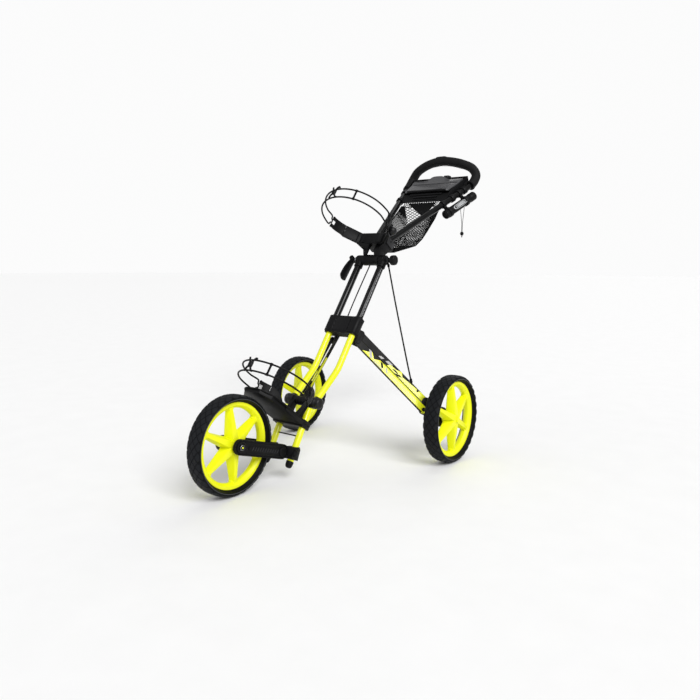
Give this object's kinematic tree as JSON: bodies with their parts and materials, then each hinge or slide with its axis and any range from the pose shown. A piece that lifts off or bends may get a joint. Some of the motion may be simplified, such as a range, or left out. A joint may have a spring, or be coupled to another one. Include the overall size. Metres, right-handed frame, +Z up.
{
  "type": "golf push trolley",
  "caption": "Folding three-wheeled golf trolley: leaning frame with bag cradles, folding legs, hinged front fork and a handle with console and net.",
  "frame": {"origin": "on the ground under the middle of the standing trolley", "axes": "+Z up, -Y towards the front wheel, +Y towards the person pushing, +X to the left"},
  "size_m": [0.756, 1.4043, 1.1174],
  "materials": {
    "yellow_paint": "satin powder coat",
    "yellow_plastic": "satin moulded",
    "black_metal": "gloss",
    "black_plastic": "fine grain",
    "grey_plastic": "satin",
    "tyre_rubber": "dull",
    "strap_rubber": "dull",
    "grip_foam": "foam",
    "steel": "zinc plated",
    "net": "open mesh"
  },
  "bodies": {
    "main_frame": {"upper_tube_left": "black_metal", "upper_tube_right": "black_metal", "hinge_boss_left": "black_plastic", "hinge_boss_right": "black_plastic", "hinge_bolt": "steel", "leg_collar": "black_plastic", "main_tube_left": "yellow_paint", "main_tube_right": "yellow_paint", "front_knuckle_left": "grey_plastic", "front_knuckle_right": "grey_plastic", "brake_cable_left": "strap_rubber", "brake_cable_middle": "strap_rubber"},
    "handle": {"hinge_casting": "black_plastic", "upper_bag_cradle": "black_plastic", "upper_strap_end_left": "strap_rubber", "upper_strap_end_right": "strap_rubber", "upper_strap": "strap_rubber", "upper_strap_buckle": "black_plastic", "handle_tube": "black_metal", "handle_grip": "grip_foam", "console_tray": "black_plastic", "storage_net": "net", "umbrella_tube": "black_plastic", "umbrella_bracket_low": "black_plastic", "umbrella_bracket_high": "black_plastic", "lanyard": "strap_rubber", "lanyard_bead": "black_plastic"},
    "lid": {"console_lid": "grey_plastic"},
    "clamp": {"clamp_lever": "black_plastic"},
    "knob": {"brake_knob": "black_plastic"},
    "front_frame": {"front_tube_left": "yellow_paint", "front_tube_right": "yellow_paint", "tube_end_cap_left": "black_plastic", "tube_end_cap_right": "black_plastic", "cross_rod": "steel", "front_hinge": "black_plastic", "lower_bag_cradle": "black_plastic", "lower_strap_end_left": "strap_rubber", "lower_strap_end_right": "strap_rubber", "lower_strap": "strap_rubber", "lower_strap_buckle": "black_plastic", "fork_arm_left": "black_plastic", "fork_arm_right": "black_plastic", "fork_clamp_left": "black_plastic", "fork_clamp_right": "black_plastic", "front_axle": "steel"},
    "front_wheel": {"front_wheel_rim": "yellow_plastic", "front_wheel_tyre": "tyre_rubber"},
    "left_lower_bar": {"left_lower_leg_bar": "black_metal"},
    "left_upper_bar": {"left_upper_leg_bar": "black_metal"},
    "left_hub": {"left_hub_bracket": "black_plastic", "left_axle": "steel"},
    "left_wheel": {"left_wheel_rim": "yellow_plastic", "left_wheel_tyre": "tyre_rubber"},
    "right_lower_bar": {"right_lower_leg_bar": "black_metal"},
    "right_upper_bar": {"right_upper_leg_bar": "black_metal"},
    "right_hub": {"right_hub_bracket": "black_plastic", "right_axle": "steel"},
    "right_wheel": {"right_wheel_rim": "yellow_plastic", "right_wheel_tyre": "tyre_rubber"}
  },
  "joints": [
    {"name": "handle_fold", "type": "hinge", "parent": "main_frame", "child": "handle", "pos_m": [0, 0.1619, 0.6875], "axis": [-1, 0, 0], "range_deg": [0, 110]},
    {"name": "lid_hinge", "type": "hinge", "parent": "handle", "child": "lid", "pos_m": [0, 0.5413, 0.968], "axis": [1, 0, 0], "range_deg": [0, 100]},
    {"name": "clamp_lever_flip", "type": "hinge", "parent": "main_frame", "child": "clamp", "pos_m": [-0.084, 0.1619, 0.6875], "axis": [0, 0.8059, -0.592], "range_deg": [0, 100]},
    {"name": "brake_knob_turn", "type": "hinge", "parent": "main_frame", "child": "knob", "pos_m": [0.09, 0.1619, 0.6875], "axis": [1, 0, 0], "range_deg": [0, 90]},
    {"name": "front_fold", "type": "hinge", "parent": "main_frame", "child": "front_frame", "pos_m": [0, -0.2247, 0.226], "axis": [1, 0, 0], "range_deg": [0, 130]},
    {"name": "front_wheel_spin", "type": "hinge", "parent": "front_frame", "child": "front_wheel", "pos_m": [0, -0.5497, 0.14954], "axis": [1, 0, 0], "continuous": true},
    {"name": "left_leg_fold", "type": "hinge", "parent": "main_frame", "child": "left_lower_bar", "pos_m": [0.052, 0.00208, 0.39984], "axis": [-0.7071, 0.5699, -0.4186], "range_deg": [0, 50]},
    {"name": "left_upper_bar_turn", "type": "hinge", "parent": "main_frame", "child": "left_upper_bar", "pos_m": [0.052, 0.02393, 0.42957], "axis": [-0.7071, 0.5699, -0.4186], "range_deg": [0, 50]},
    {"name": "left_hub_turn", "type": "hinge", "parent": "left_lower_bar", "child": "left_hub", "pos_m": [0.26159, 0.09651, 0.17436], "axis": [-0.7071, 0.5699, -0.4186], "range_deg": [-50, 0]},
    {"name": "left_wheel_spin", "type": "hinge", "parent": "left_hub", "child": "left_wheel", "pos_m": [0.344, 0.1493, 0.14954], "axis": [1, 0, 0], "continuous": true},
    {"name": "right_leg_fold", "type": "hinge", "parent": "main_frame", "child": "right_lower_bar", "pos_m": [-0.052, 0.00208, 0.39984], "axis": [-0.7071, -0.5699, 0.4186], "range_deg": [0, 50]},
    {"name": "right_upper_bar_turn", "type": "hinge", "parent": "main_frame", "child": "right_upper_bar", "pos_m": [-0.052, 0.02393, 0.42957], "axis": [-0.7071, -0.5699, 0.4186], "range_deg": [0, 50]},
    {"name": "right_hub_turn", "type": "hinge", "parent": "right_lower_bar", "child": "right_hub", "pos_m": [-0.26159, 0.09651, 0.17436], "axis": [-0.7071, -0.5699, 0.4186], "range_deg": [-50, 0]},
    {"name": "right_wheel_spin", "type": "hinge", "parent": "right_hub", "child": "right_wheel", "pos_m": [-0.344, 0.1493, 0.14954], "axis": [1, 0, 0], "continuous": true}
  ],
  "couplings": [
    {"joint": "left_upper_bar_turn", "follows": "left_leg_fold", "ratio": 1},
    {"joint": "left_hub_turn", "follows": "left_leg_fold", "ratio": -1},
    {"joint": "right_upper_bar_turn", "follows": "right_leg_fold", "ratio": 1},
    {"joint": "right_hub_turn", "follows": "right_leg_fold", "ratio": -1}
  ]
}
